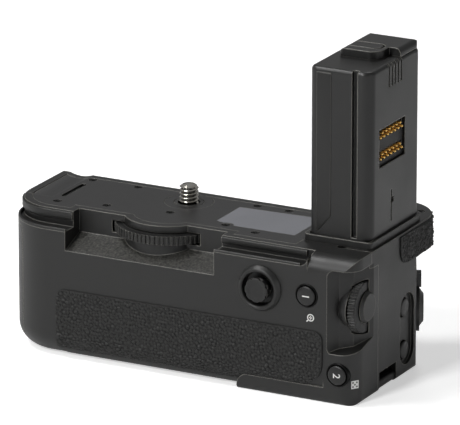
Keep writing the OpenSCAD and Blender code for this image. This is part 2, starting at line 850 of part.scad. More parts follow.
module button_two() {
    color("#202020") rear_button(button_two_x, button_two_z, button_two_r);
}

module rear_switches() {
    color("#c0c0c0") for (p = [[button_one_x, button_one_z], [button_two_x, button_two_z]])
        box([p[0] - 1.6, switch_y, p[1] - 1.6], [p[0] + 1.6, board_y, p[1] + 1.6]);
}

end_floor = body_right - 1.2;
end_in = end_floor - wall;

module end_button(z) {
    translate([0, end_y, z]) {
        rod_x(end_in - 0.3, end_floor + 0.8, end_r);
        rod_x(end_in - 0.8, end_in - 0.25, end_r + 0.5);
        rod_x(end_in - 1.4, end_in - 0.6, 0.9);
    }
}

module end_button_upper() {
    color("#202020") end_button(end_zs[0]);
}

module end_button_lower() {
    color("#202020") end_button(end_zs[1]);
}

module end_switches() {
    x = end_in - 1.5 - btn_travel;
    color("#b9bdc0") {
        for (z = end_zs) box([x - 1, end_y - 1.6, z - 1.6], [x, end_y + 1.6, z + 1.6]);
        box([x - 1.8, end_y - 4, end_zs[1] - 3.5], [x - 1 + eps, end_y + 3, end_zs[0] + 3.5]);
    }
}

module shutter_button() {
    color("#181818") at_facet() {
        rod_x(-2.4, 1.3, shutter_r);
        cone_x(1.3 - eps, 2.5, shutter_r, shutter_r - 1.9);
        rod_x(-2.9, -2.3, shutter_r + 0.5);
        rod_x(-4.2, -2.8, 1.5);
    }
}

module shutter_ring() {
    color("#8f8f8f") at_facet() difference() {
        rod_x(-1.4, -0.85, shutter_r + 1.3);
        rod_x(-5, 1, shutter_r + btn_gap);
    }
}

module shutter_switch() {
    x = -4.3 - shutter_travel;
    color("#c0c0c0") at_facet() {
        box([x - 1.2, -2, -9.2], [x, 2, 2]);
        box([x - 1.2, -2, -9.2], [-wall, 2, -8.2]);
    }
}

module power_ring() {
    color("#232323") at_facet() {
        difference() {
            rod_x(-0.7, 1.1, ring_r);
            rod_x(-5, 5, shutter_r + 0.4);
        }
        box([0.15, -1.9, ring_r - 0.5], [1.7, 1.9, ring_r + 4.2]);
    }
}

latch_y = tray_yc;
latch_z = (tray_z0 + tray_z1) / 2;
tongue_r = 14;
tongue_x = cap_x + end_wall + 0.3;
latch_in = -body_left + 2;
latch_shaft_r = 2;

module battery_tray() {
    color("#3b3d3f") difference() {
        box([cap_x - 0.2, tray_y0, tray_z0], [tray_x1, tray_y1, tray_z1]);
        for (x = [bay_x0, bay_x1])
            box([x, tray_y0 + tray_wall, tray_z0 + tray_wall], [x + bay_l, tray_y1 - tray_wall, 0]);
        translate([0, latch_y, latch_z]) {
            rod_x(tongue_x - 0.2, tongue_x + 1.4, tongue_r + 0.4);
            rod_x(cap_x - 5, tongue_x, latch_shaft_r + 0.4);
        }
    }
}

module tray_cap() {
    color("#2e2e2d") difference() {
        intersection() {
            body(0);
            box([-90, -90, -90], [cap_x - 0.2, 90, cap_top - 0.2]);
        }
        translate([0, latch_y, latch_z]) {
            rod_x(-body_left - 1, latch_in, 9);
            rod_x(-body_left - 1, 0, latch_shaft_r + run_gap);
        }
    }
}

module tray_contacts() {
    color("#d2a548") for (y = contact_ys)
        box([tray_x1, tray_yc + y - 1, latch_z - 4], [tray_x1 + 0.1, tray_yc + y + 1, latch_z + 4]);
}

module latch_knob() {
    color("#262626") translate([0, latch_y, latch_z]) {
        rod_x(-body_left + 0.9, latch_in - 0.15, 8.6);
        box([-body_left + 0.1, -1.4, -7.2], [-body_left + 1, 1.4, 7.2]);
        rod_x(latch_in - 0.2, tongue_x + 0.6, latch_shaft_r);
    }
}

module latch_tongue() {
    color("#a9abad") translate([0, latch_y, latch_z]) difference() {
        intersection() {
            box([tongue_x, -20, -3.2], [tongue_x + 1.2, 20, 3.2]);
            rod_x(tongue_x - 1, tongue_x + 2, tongue_r);
        }
        rod_x(tongue_x - 1, tongue_x + 0.6, latch_shaft_r);
    }
}

chassis_x0 = tongue_x + 1.7;
contact_ys = [-9, -3, 3, 9];
chassis_x1 = tray_x1 + 0.5;

module bay_chassis() {
    color("#55585a") difference() {
        box([chassis_x0, tray_y0 - tray_gap - chassis_t, tray_z0 - tray_gap - chassis_t],
            [chassis_x1, tray_y1 + tray_gap + chassis_t, chassis_z1]);
        box([-90, tray_y0 - tray_gap, tray_z0 - tray_gap], [90, tray_y1 + tray_gap, tray_z1 + roof_gap]);
    }
}

module bay_contact_block() {
    color("#1d1f21")
        box([chassis_x1 + 0.4, tray_yc - 12, latch_z - 6], [chassis_x1 + 2.6, tray_yc + 12, latch_z + 6]);
}

module spring_contacts() {
    color("#d8b25a") for (y = contact_ys)
        box([tray_x1 + 0.4, tray_yc + y - 0.8, latch_z - 2],
            [chassis_x1 + 0.4, tray_yc + y + 0.8, latch_z + 2]);
}

module main_board() {
    z0 = -body_h + 4;
    color("#1f5a3a") difference() {
        union() {
            box([-30, board_y, z0], [body_right - 12, board_y + board_t, -pocket_out_z - 4.2]);
            box([pocket_right + 3.8, board_y, -20], [body_right - 12, board_y + board_t, -9]);
            box([40, board_y, z0], [button_two_x + 2.4, board_y + board_t, button_two_z + 4]);
        }
        box([joy_x - 6, -90, -joy_z - 6], [joy_x + 6, 90, -joy_z + 6]);
    }
}

module flex_ribbon() {
    x = stem_x1 - 7.3;
    color("#b7812f") {
        box([x, -8, -12], [x + 0.2, 4, 6]);
        box([joy_x + 8, board_y + board_t, -12.2], [x + 0.2, 4, -12 + eps]);
    }
}

module tripod_insert() {
    color("#b4b4b0") difference() {
        rod_z(-body_h + 0.1, -body_h + 5.1, 5);
        rod_z(-body_h - 1, -body_h + 9, 2.6);
    }
}

module strap_bar() {
    color("#a5a5a5") translate([strap_x, 0, strap_z]) rod_y(-15.3, -1.2, strap_r);
}

rear_shell();
front_shell();
hold_shell();
base_shell();
top_plate();
label_plate();
rear_pad();
front_pad();
grip_pad();
plate_screws();
shell_screws();
camera_screw();
screw_pinion();
screw_disc();
screw_bush();
thumb_wheel();
wheel_hub();
stem_shell();
stem_cap();
stem_collar();
contact_block();
stem_contacts();
stem_board();
rear_dial();
rear_dial_shaft();
dial_encoders();
front_dial();
front_dial_shaft();
joystick_bezel();
joystick_carrier();
joystick_yoke();
joystick_cap();
joystick_module();
button_one();
button_two();
rear_switches();
end_button_upper();
end_button_lower();
end_switches();
shutter_button();
shutter_ring();
shutter_switch();
power_ring();
battery_tray();
tray_cap();
tray_contacts();
latch_knob();
latch_tongue();
bay_chassis();
bay_contact_block();
spring_contacts();
main_board();
flex_ribbon();
tripod_insert();
strap_bar();
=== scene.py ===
import bpy
import json
import math
from mathutils import Matrix, Vector


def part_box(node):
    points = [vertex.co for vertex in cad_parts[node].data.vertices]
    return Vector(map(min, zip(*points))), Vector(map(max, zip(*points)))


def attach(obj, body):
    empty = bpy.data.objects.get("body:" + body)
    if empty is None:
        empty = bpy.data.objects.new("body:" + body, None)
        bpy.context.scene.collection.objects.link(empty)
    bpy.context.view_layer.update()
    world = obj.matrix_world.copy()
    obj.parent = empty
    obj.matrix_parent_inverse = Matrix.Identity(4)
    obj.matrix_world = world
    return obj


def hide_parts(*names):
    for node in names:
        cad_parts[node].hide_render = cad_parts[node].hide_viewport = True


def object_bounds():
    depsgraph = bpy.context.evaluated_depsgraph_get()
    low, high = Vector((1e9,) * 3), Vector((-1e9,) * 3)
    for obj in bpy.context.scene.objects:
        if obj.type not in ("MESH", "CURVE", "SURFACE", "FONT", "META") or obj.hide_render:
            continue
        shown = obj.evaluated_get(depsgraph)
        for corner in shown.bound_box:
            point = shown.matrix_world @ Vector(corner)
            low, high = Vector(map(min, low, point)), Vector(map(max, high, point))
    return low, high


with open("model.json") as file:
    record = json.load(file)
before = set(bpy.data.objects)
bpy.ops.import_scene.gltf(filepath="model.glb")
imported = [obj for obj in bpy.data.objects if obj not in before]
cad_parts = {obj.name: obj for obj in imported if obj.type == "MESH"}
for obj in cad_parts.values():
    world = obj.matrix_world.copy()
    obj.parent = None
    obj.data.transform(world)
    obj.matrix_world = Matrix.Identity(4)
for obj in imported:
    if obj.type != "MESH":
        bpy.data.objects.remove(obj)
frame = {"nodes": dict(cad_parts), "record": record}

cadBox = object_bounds()
record = frame["record"]
nodes = frame["nodes"]
bodyOf = {n: b for b, names in record["behaviour"]["bodies"].items() for n in names}
slotOf = {s["node"]: s["material_slot"] for s in record["subparts"]}
mm = 0.001
weld = 1e-6
near = 1e-5
print("frame loaded:", len(nodes), "nodes")


def hexColor(code):
    parts = [int(code[i:i + 2], 16) / 255 for i in (1, 3, 5)]
    return [c / 12.92 if c <= 0.04045 else ((c + 0.055) / 1.055) ** 2.4 for c in parts] + [1.0]


def addNode(tree, kind, settings=None, links=None):
    node = tree.nodes.new(kind)
    for key, value in (settings or {}).items():
        if isinstance(key, int) or key in node.inputs:
            node.inputs[key].default_value = value
        else:
            setattr(node, key, value)
    for key, socket in (links or {}).items():
        tree.links.new(socket, node.inputs[key])
    return node


def startMaterial(name, settings):
    material = bpy.data.materials.new(name)
    material.use_nodes = True
    tree = material.node_tree
    shader = tree.nodes["Principled BSDF"]
    for key, value in settings.items():
        shader.inputs[key].default_value = value
    place = addNode(tree, "ShaderNodeTexCoord")
    return material, tree, shader, place.outputs["Object"]


def spread(tree, factor, dark, light):
    ramp = addNode(tree, "ShaderNodeValToRGB", links={"Fac": factor})
    ramp.color_ramp.elements[0].color = hexColor(dark)
    ramp.color_ramp.elements[1].color = hexColor(light)
    return ramp.outputs["Color"]


def mapped(tree, value, span=(0.0, 1.0), result=(0.0, 1.0)):
    settings = {"From Min": span[0], "From Max": span[1], "To Min": result[0], "To Max": result[1]}
    return addNode(tree, "ShaderNodeMapRange", settings, {"Value": value}).outputs["Result"]


def reckon(tree, operation, links, settings=None):
    return addNode(tree, "ShaderNodeMath", {"operation": operation, **(settings or {})}, links).outputs[0]


def reckonVector(tree, operation, links, settings=None):
    return addNode(tree, "ShaderNodeVectorMath", {"operation": operation, **(settings or {})}, links).outputs


def mixColor(tree, factor, first, second):
    node = addNode(tree, "ShaderNodeMix", {"data_type": "RGBA"}, {0: factor})
    for index, value in ((6, first), (7, second)):
        if isinstance(value, bpy.types.NodeSocket):
            tree.links.new(value, node.inputs[index])
        else:
            node.inputs[index].default_value = value
    return node.outputs[2]


def noise(tree, place, sizeMm, detail, roughness=0.5):
    settings = {"Scale": 1 / (sizeMm * mm), "Detail": detail, "Roughness": roughness}
    return addNode(tree, "ShaderNodeTexNoise", settings, {"Vector": place}).outputs["Fac"]


def openness(tree, reachMm):
    return addNode(tree, "ShaderNodeAmbientOcclusion", {"samples": 6, "Distance": reachMm * mm}).outputs["AO"]


def bumped(tree, strength, deepMm, links):
    settings = {"Strength": strength, "Distance": deepMm * mm}
    return addNode(tree, "ShaderNodeBump", settings, links).outputs["Normal"]


def dress(tree, shader, color, roughness, normal):
    for name, socket in (("Base Color", color), ("Roughness", roughness), ("Normal", normal)):
        tree.links.new(socket, shader.inputs[name])


# 1 inside a box and on faces that look up: the mask where light from above is painted
def insideBox(tree, place, zone):
    away = reckonVector(tree, "SUBTRACT", {0: place}, {1: [c * mm for c in zone["middle"]]})[0]
    span = reckonVector(tree, "ABSOLUTE", {0: away})[0]
    over = reckonVector(tree, "SUBTRACT", {0: span}, {1: [c * mm for c in zone["half"]]})[0]
    axes = addNode(tree, "ShaderNodeSeparateXYZ", links={0: over}).outputs
    most = reckon(tree, "MAXIMUM", {0: axes[0], 1: axes[1]})
    most = reckon(tree, "MAXIMUM", {0: most, 1: axes[2]})
    inside = mapped(tree, most, (-zone["fadeMm"] * mm, 0.0), (1.0, 0.0))
    normal = addNode(tree, "ShaderNodeNewGeometry").outputs["Normal"]
    facing = addNode(tree, "ShaderNodeSeparateXYZ", links={0: normal})
    upwardLitMask = mapped(tree, facing.outputs[2], zone["upFrom"])
    return reckon(tree, "MULTIPLY", {0: inside, 1: upwardLitMask})


# Shared look of the moulded plastics, with the painted edge highlight and the painted crevice shade
absLook = {"cloudMm": 14, "grainShare": 0.6, "toneTo": (-0.5, 0.75), "roughBy": (-0.08, 0.12), "bump": 0.4,
           "edgeSamples": 6, "highlightFrom": (0.985, 0.72), "paintedEdgeHighlight": "#96948c", "creviceMm": 2.2,
           "creviceFrom": (0.25, 0.8), "creviceTo": (0.25, 1.0), "paintedCreviceShade": (0.001, 0.001, 0.001, 1)}


# ABS housing, spark-eroded mould: a fine matt grain, edges painted lighter as a highlight, crevices painted
# darker as shade
def mouldedAbs(name, dark, light, rough, grainMm, deepMm, edgeMm, coarse=None):
    material, tree, shader, place = startMaterial(name, {"IOR": 1.5, "Specular IOR Level": 0.5})
    cloud = noise(tree, place, absLook["cloudMm"], 3.0)
    grain = noise(tree, place, grainMm, 2.0, 0.6)
    mixed = reckon(tree, "MULTIPLY_ADD", {0: grain, 2: cloud}, {1: absLook["grainShare"]})
    base = spread(tree, mapped(tree, mixed, result=absLook["toneTo"]), dark, light)
    height = grain
    if coarse:
        # Partly painted light: a real coarse speckle, but lighter only where the pocket's faces look up
        inside = insideBox(tree, place, coarse)
        speck = mapped(tree, noise(tree, place, coarse["grainMm"], 3.0, 0.7), coarse["speckFrom"])
        base = mixColor(tree, inside, base, spread(tree, speck, coarse["dark"], coarse["light"]))
        height = reckon(tree, "MULTIPLY_ADD", {0: inside, 1: speck, 2: grain})
    # Painted highlight: where the rounded normal turns away from the flat one, the colour is mixed towards a
    # light tone
    edge = addNode(tree, "ShaderNodeBevel", {"samples": absLook["edgeSamples"], "Radius": edgeMm * mm})
    rounded = edge.outputs["Normal"]
    flat = addNode(tree, "ShaderNodeNewGeometry").outputs["Normal"]
    match = reckonVector(tree, "DOT_PRODUCT", {0: rounded, 1: flat})["Value"]
    edgeHighlightedColor = mixColor(tree, mapped(tree, match, absLook["highlightFrom"]), base, hexColor(absLook["paintedEdgeHighlight"]))
    # Painted shade: where ambient occlusion finds the surface enclosed, the colour goes towards near black
    crevice = mapped(tree, openness(tree, absLook["creviceMm"]), absLook["creviceFrom"], absLook["creviceTo"])
    color = mixColor(tree, crevice, absLook["paintedCreviceShade"], edgeHighlightedColor)
    gloss = mapped(tree, mixed, result=[rough + step for step in absLook["roughBy"]])
    normal = bumped(tree, absLook["bump"], deepMm, {"Height": height, "Normal": rounded})
    dress(tree, shader, color, gloss, normal)
    return material


rubberLook = {"bulgeFrom": (0.46, 0.52), "grainShare": 0.25, "toneTo": (-0.1, 0.85), "roughTo": (0.6, 0.46),
              "bump": 0.5}


# Rubber skin moulded with a leather pebble: narrow valleys painted dark as shade, a dull sheen on the crowns, a
# fine grain
def pebbledRubber(name, dark, light, grainMm, deepMm):
    material, tree, shader, place = startMaterial(name, {"IOR": 1.5, "Specular IOR Level": 0.28})
    bulge = addNode(tree, "ShaderNodeNewGeometry").outputs["Pointiness"]
    # Painted shade: the valleys, found by their pointiness, are coloured darker than the crowns
    paintedValleyShade = mapped(tree, bulge, rubberLook["bulgeFrom"])
    fine = noise(tree, place, grainMm, 2.0)
    height = reckon(tree, "MULTIPLY_ADD", {0: fine, 2: paintedValleyShade}, {1: rubberLook["grainShare"]})
    color = spread(tree, mapped(tree, height, result=rubberLook["toneTo"]), dark, light)
    gloss = mapped(tree, height, result=rubberLook["roughTo"])
    dress(tree, shader, color, gloss, bumped(tree, rubberLook["bump"], deepMm, {"Height": fine}))
    return material


metalLook = {"stretch": (1, 1, 6), "unshadedFrom": (0.45, 0.85), "valleyShade": (0.012, 0.011, 0.01, 1),
             "roughTimes": (0.7, 1.4), "bump": 0.12, "lineDeep": 0.02}


# Turned or plated metal: fine tool lines, gloss that varies along them, valleys painted darker as shade
def platedMetal(name, dark, light, rough, lineMm, valleyMm=0.8):
    material, tree, shader, place = startMaterial(name, {"Metallic": 1.0})
    stretched = addNode(tree, "ShaderNodeMapping", {"Scale": metalLook["stretch"]}, {"Vector": place})
    lines = noise(tree, stretched.outputs["Vector"], lineMm, 3.0)
    # Painted shade: where ambient occlusion finds the surface enclosed, the colour goes towards a near-black
    # valley tone
    unshaded = mapped(tree, openness(tree, valleyMm), metalLook["unshadedFrom"])
    color = mixColor(tree, unshaded, metalLook["valleyShade"], spread(tree, lines, dark, light))
    gloss = mapped(tree, lines, result=[rough * times for times in metalLook["roughTimes"]])
    normal = bumped(tree, metalLook["bump"], metalLook["lineDeep"], {"Height": lines})
    dress(tree, shader, color, gloss, normal)
    return material


# Plastics: two tones, roughness, then grain size, grain depth and the width of the rounded, highlight-painted
# edge in mm
# Metals: two tones, roughness, then the size of the tool lines and the reach of the painted valley shade in mm
finish = {
    "shell_plastic": mouldedAbs("mouldedAbsMatt", "#121211", "#1a1a19", 0.36, 0.4, 0.04, 0.5),
    "stem_plastic": mouldedAbs("mouldedAbsSatin", "#0f0f0e", "#161615", 0.3, 0.3, 0.015, 0.6),
    "plate_plastic": mouldedAbs("mouldedAbsPlate", "#1c1c1c", "#252525", 0.32, 0.35, 0.02, 0.25),
    "label_grey": mouldedAbs("printedPolyesterLabel", "#6c6d72", "#7a7b80", 0.4, 0.5, 0.01, 0.05),
    "pad_rubber": pebbledRubber("pebbledRubber", "#020202", "#323231", 0.4, 0.04),
    "knurl_black": mouldedAbs("mouldedAbsKnurled", "#0b0b0b", "#131312", 0.38, 0.3, 0.02, 0.15),
    "button_black": mouldedAbs("mouldedAbsButton", "#0b0b0b", "#131312", 0.32, 0.4, 0.012, 0.3),
    "screw_black": platedMetal("blackZincSteel", "#141414", "#262626", 0.35, 0.3),
    "nickel": platedMetal("nickelPlatedSteel", "#b9b5ac", "#d9d6cf", 0.2, 0.4),
    "steel": platedMetal("brightSteel", "#9a9a98", "#b8b8b6", 0.3, 0.3),
    "brass": platedMetal("turnedBrass", "#a88a45", "#c4a65c", 0.28, 0.3),
    "gold": platedMetal("goldFlashedContact", "#e0a848", "#ffd98a", 0.3, 0.2, 0.1),
    "inner_plastic": mouldedAbs("mouldedNylonInner", "#0f0f10", "#1a1a1b", 0.5, 0.5, 0.03, 0.2),
    "board_green": mouldedAbs("solderResistBoard", "#123d26", "#1d5537", 0.4, 0.8, 0.02, 0.1),
    "ribbon": mouldedAbs("polyimideRibbon", "#7d4c1a", "#9a6428", 0.35, 0.6, 0.01, 0.05),
}
# The floor of the wheel's pocket is speckled with a coarse grain, and on its upward faces the speckle is painted
# lighter as light falling from above
pocket = {"middle": (-1.15, -23.2, -6.3), "half": (28.0, 9.2, 6.1), "fadeMm": 0.15, "upFrom": (0.25, 0.45),
          "grainMm": 0.75, "speckFrom": (0.38, 0.68), "dark": "#1b1b1a", "light": "#54534f"}
rearAbs = mouldedAbs("mouldedAbsCoarsePocketTopLit", "#121211", "#1a1a19", 0.36, 0.4, 0.04, 0.5, coarse=pocket)
for name, node in nodes.items():
    node.data.materials.clear()
    node.data.materials.append(rearAbs if name == "rear_shell" else finish[slotOf[name]])
print("finishes ready:", len(finish))

viewSetup = {"location": (0.88066, -1.65557, 0.59469), "turn": (72.3, 0, 27.6), "lens": 469.57, "sensor": 36,
             "clipEnd": 20}
bpy.ops.object.select_all(action="DESELECT")
bpy.ops.object.camera_add(location=viewSetup["location"],
                          rotation=[math.radians(a) for a in viewSetup["turn"]])
camera = bpy.context.object
camera.data.sensor_width = viewSetup["sensor"]
camera.data.sensor_fit = "HORIZONTAL"
camera.data.lens = viewSetup["lens"]
camera.data.clip_end = viewSetup["clipEnd"]
bpy.context.scene.camera = camera
bpy.context.scene.view_settings.view_transform = "Standard"

# Each lamp: name, place, target, size in metres, watts
studio = {"floorZ": cadBox[0][2], "floorSize": 8.0, "paper": "#f4f4f4", "paperRough": 0.9,
          "white": (1, 1, 1, 1), "sky": 0.04, "mirrored": 0.22, "glow": 0.5, "floorMirrored": 0.3,
          "lamps": [("overhead", (-0.5, -0.3, 1.1), (0, 0, 0), 0.35, 7),
                    ("keyRight", (1.6, -0.4, 0.28), (0.05, 0, -0.03), 0.5, 2),
                    ("frontLeft", (-0.35, -1.6, 1.15), (0, 0, -0.02), 0.35, 21),
                    ("leftStrip", (-1.3, -0.3, 0.5), (0, 0, 0), 0.4, 1.2),
                    ("backTop", (-0.3, 1.2, 1.6), (0, 0, 0), 0.4, 5)]}


def aimLamp(name, place, target, size, power):
    bpy.ops.object.light_add(type="AREA", location=place)
    lamp = bpy.context.object
    lamp.name = name
    lamp.data.size = size
    lamp.data.energy = power
    lamp.rotation_euler = (Vector(target) - Vector(place)).to_track_quat("-Z", "Y").to_euler()


# 1 for the named rays, a share for mirror rays, 0 for the light that falls on the object
def seenBy(tree, rays, mirroredShare):
    path = addNode(tree, "ShaderNodeLightPath")
    seen = reckon(tree, "MULTIPLY", {0: path.outputs["Is Glossy Ray"]}, {1: mirroredShare})
    for ray in rays:
        seen = reckon(tree, "MAXIMUM", {0: path.outputs[ray], 1: seen})
    return seen


for lamp in studio["lamps"]:
    aimLamp(*lamp)
bpy.ops.mesh.primitive_plane_add(size=studio["floorSize"], location=(0, 0, studio["floorZ"]))
floor = bpy.context.object
floor.name = "studioFloor"
paper = bpy.data.materials.new("whitePaperSweep")
paper.use_nodes = True
tree = paper.node_tree
shade = tree.nodes["Principled BSDF"]
shade.inputs["Base Color"].default_value = hexColor(studio["paper"])
shade.inputs["Roughness"].default_value = studio["paperRough"]
lit = seenBy(tree, ["Is Camera Ray"], studio["floorMirrored"])
glow = addNode(tree, "ShaderNodeEmission", {"Color": studio["white"]},
               {"Strength": mapped(tree, lit, result=(0.0, studio["glow"]))})
both = addNode(tree, "ShaderNodeAddShader", links={0: shade.outputs[0], 1: glow.outputs[0]})
tree.links.new(both.outputs[0], tree.nodes["Material Output"].inputs["Surface"])
floor.data.materials.append(paper)

world = bpy.data.worlds.new("studioSky")
bpy.context.scene.world = world
world.use_nodes = True
tree = world.node_tree
sky = tree.nodes["Background"]
sky.inputs["Color"].default_value = studio["white"]
bright = seenBy(tree, ["Is Camera Ray", "Is Transmission Ray"], studio["mirrored"])
tree.links.new(mapped(tree, bright, result=(studio["sky"], 1.0)), sky.inputs["Strength"])
print("studio ready")


def deselect():
    bpy.ops.object.select_all(action="DESELECT")


def editMode():
    bpy.ops.object.mode_set(mode="EDIT")


def objectMode():
    bpy.ops.object.mode_set(mode="OBJECT")


def selectAll():
    bpy.ops.mesh.select_all(action="SELECT")


def only(piece):
    deselect()
    piece.select_set(True)
    bpy.context.view_layer.objects.active = piece


def joinTo(piece, others):
    only(piece)
    for other in others:
        other.select_set(True)
    bpy.ops.object.join()


def copyNodes(name, sources):
    copies = []
    for source in sources:
        piece = nodes[source].copy()
        piece.data = nodes[source].data.copy()
        piece.parent = None
        piece.matrix_world = Matrix.Identity(4)
        bpy.context.collection.objects.link(piece)
        copies.append(piece)
    only(copies[0])
    if len(copies) > 1:
        joinTo(copies[0], copies[1:])
    copies[0].name = name
    editMode()
    selectAll()
    bpy.ops.mesh.remove_doubles(threshold=2 * weld)
    objectMode()
    return copies[0]


def applyModifier(piece, kind, **settings):
    only(piece)
    modifier = piece.modifiers.new(kind.lower(), kind)
    for key, value in settings.items():
        setattr(modifier, key, value)
    bpy.ops.object.modifier_apply(modifier=modifier.name)


def bevelEdges(piece, widthMm, segments, degrees):
    applyModifier(piece, "BEVEL", width=widthMm * mm, segments=segments, limit_method="ANGLE",
                  angle_limit=math.radians(degrees), use_clamp_overlap=True)


def cutWith(piece, cutter):
    applyModifier(piece, "BOOLEAN", operation="DIFFERENCE", object=cutter)
    bpy.data.objects.remove(cutter)


def drill(piece, place, radiusMm, depthMm, vertices):
    deselect()
    bpy.ops.mesh.primitive_cylinder_add(vertices=vertices, radius=radiusMm * mm, depth=depthMm * mm,
                                        location=[c * mm for c in place])
    cutWith(piece, bpy.context.object)


def smoothShade(piece, degrees=35):
    only(piece)
    bpy.ops.object.shade_smooth_by_angle(angle=math.radians(degrees))


# Smooth shading with normals that follow the large faces, so that flat walls stay flat
def trueShade(piece, degrees):
    smoothShade(piece, degrees)
    applyModifier(piece, "WEIGHTED_NORMAL", mode="FACE_AREA_WITH_ANGLE", weight=100, keep_sharp=True)


def settle(piece, body, slotName, replaced):
    piece.data.materials.clear()
    piece.data.materials.append(finish[slotName])
    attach(piece, body)
    if replaced:
        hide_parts(*replaced)
    return piece


# Leaves the piece in edit mode with the parts selected that pass the test
def pick(piece, kind, test):
    only(piece)
    editMode()
    bpy.ops.mesh.select_mode(type=kind)
    bpy.ops.mesh.select_all(action="DESELECT")
    objectMode()
    items = {"FACE": piece.data.polygons, "EDGE": piece.data.edges, "VERT": piece.data.vertices}[kind]
    for item in items:
        item.select = test(item)
    editMode()


def pickEdges(piece, test):
    pick(piece, "EDGE", lambda edge: test(*[piece.data.vertices[i].co for i in edge.vertices]))


def dissolveFlat(piece, degrees):
    only(piece)
    editMode()
    selectAll()
    bpy.ops.mesh.dissolve_limited(angle_limit=math.radians(degrees))
    objectMode()


def bake(piece, matrix):
    only(piece)
    piece.matrix_world = matrix
    bpy.ops.object.transform_apply(location=True, rotation=True, scale=True)


def moved(place):
    return Matrix.Translation(Vector(place) * mm)


def turned(degrees, axis):
    return Matrix.Rotation(math.radians(degrees), 4, axis)


def sized(size):
    return Matrix.Diagonal([c * mm for c in size] + [1])


def boxPlace(low, high):
    middle = [(a + b) / 2 * mm for a, b in zip(low, high)]
    return Matrix.Translation(middle) @ sized([b - a for a, b in zip(low, high)])


# Turns the Z axis to the given axis and moves the origin to the place
def turnTo(axis, place):
    spin = Vector((0, 0, 1)).rotation_difference(Vector(axis)).to_matrix().to_4x4()
    return moved(place) @ spin


def addCube(name, place):
    deselect()
    bpy.ops.mesh.primitive_cube_add(size=1)
    piece = bpy.context.object
    piece.name = name
    bake(piece, place)
    return piece


# Front cover: the three front shells joined, without the faces where they met inside
cover = {"nodes": ["front_shell", "hold_shell", "base_shell"], "seamY": 10.8, "seamX": 66.0, "below": -14.02,
         "flatDegrees": 0.2, "sharpDegrees": 30}
piece = copyNodes("frontCover", cover["nodes"])


def onSeam(face):
    spots = [piece.data.vertices[i].co for i in face.vertices]
    inY = all(abs(v.y - cover["seamY"] * mm) < near for v in spots)
    inX = all(abs(v.x - cover["seamX"] * mm) < near for v in spots)
    return face.center.z < cover["below"] * mm and (inY or inX)


pick(piece, "FACE", onSeam)
bpy.ops.mesh.delete(type="FACE")
objectMode()
dissolveFlat(piece, cover["flatDegrees"])
trueShade(piece, cover["sharpDegrees"])
settle(piece, "grip", "shell_plastic", cover["nodes"])
print("front cover ready:", len(piece.data.polygons))

# Rubber pads: the CAD plates cut into a fine grid, their outer faces pushed in and out by a pebble pattern
pebbleSettings = {"noise_basis": "VORONOI_F2_F1", "noise_scale": 1.05 * mm, "noise_depth": 0, "contrast": 3.0,
                  "intensity": 1.95}
pebble = bpy.data.textures.new("leatherPebble", "CLOUDS")
for key, value in pebbleSettings.items():
    setattr(pebble, key, value)
pads = [{"name": "rearPadSkin", "node": "rear_pad", "out": -1},
        {"name": "frontPadSkin", "node": "front_pad", "out": 1},
        {"name": "gripPadSkin", "node": "grip_pad", "out": 0, "axis": (63.0, 20.0, 0)}]
grid = {"stepMm": 0.35, "crownMm": 0.34, "seamMm": 0.3, "rimMm": 0.3, "rimSegments": 3, "rimDegrees": 50,
        "flatDegrees": 0.3, "level": 0.7}
rimTest = {"side": 0.2, "up": 0.2, "down": -0.6, "outward": 0.15, "level": 0.3, "spoke": 0.6}


def gridCut(axis, low, high):
    count = int((high - low) / (grid["stepMm"] * mm))
    for i in range(1, count):
        place = [0, 0, 0]
        place[axis] = low + (high - low) * i / count
        normal = [0, 0, 0]
        normal[axis] = 1
        selectAll()
        bpy.ops.mesh.bisect(plane_co=place, plane_no=normal)


# True for the faces of a pad that stay smooth: its back, its flanks and its rounded rim
def onRim(face, pad):
    n = face.normal
    if pad["out"]:
        sideways = abs(n.x) > rimTest["side"] or n.z > rimTest["up"] or n.z < rimTest["down"]
        return sideways or n.y * pad["out"] < rimTest["outward"]
    spoke = (face.center - Vector([c * mm for c in pad["axis"]])).xy.normalized()
    return abs(n.z) > rimTest["level"] or spoke.dot(n.xy) < rimTest["spoke"]


for pad in pads:
    piece = copyNodes(pad["name"], [pad["node"]])
    dissolveFlat(piece, grid["flatDegrees"])
    bevelEdges(piece, grid["rimMm"], grid["rimSegments"], grid["rimDegrees"])
    low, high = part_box(pad["node"])
    editMode()
    for axis in (0, 2) if pad["out"] else (0, 2, 1):
        gridCut(axis, low[axis], high[axis])
    if pad["out"]:
        middle = [(a + b) / 2 for a, b in zip(low, high)]
        shrink = [1 - 2 * grid["seamMm"] * mm / (b - a) for a, b in zip(low, high)]
        selectAll()
        bpy.ops.transform.resize(value=(shrink[0], 1, shrink[2]), center_override=middle)
    objectMode()
    rim = {v for face in piece.data.polygons if onRim(face, pad) for v in face.vertices}
    piece.vertex_groups.new(name="crown")
    pick(piece, "VERT", lambda v: v.index not in rim)
    bpy.ops.object.vertex_group_assign()
    objectMode()
    applyModifier(piece, "DISPLACE", texture=pebble, texture_coords="LOCAL", strength=grid["crownMm"] * mm,
                  mid_level=grid["level"], vertex_group="crown")
    only(piece)
    bpy.ops.object.shade_smooth()
    settle(piece, "grip", "pad_rubber", [pad["node"]])
    print("pad", pad["name"], len(piece.data.polygons))


def arc(x, z, r, begin, end, count):
    angles = [math.radians(begin + (end - begin) * i / count) for i in range(count + 1)]
    return [(x + r * math.cos(a), z + r * math.sin(a)) for a in angles]


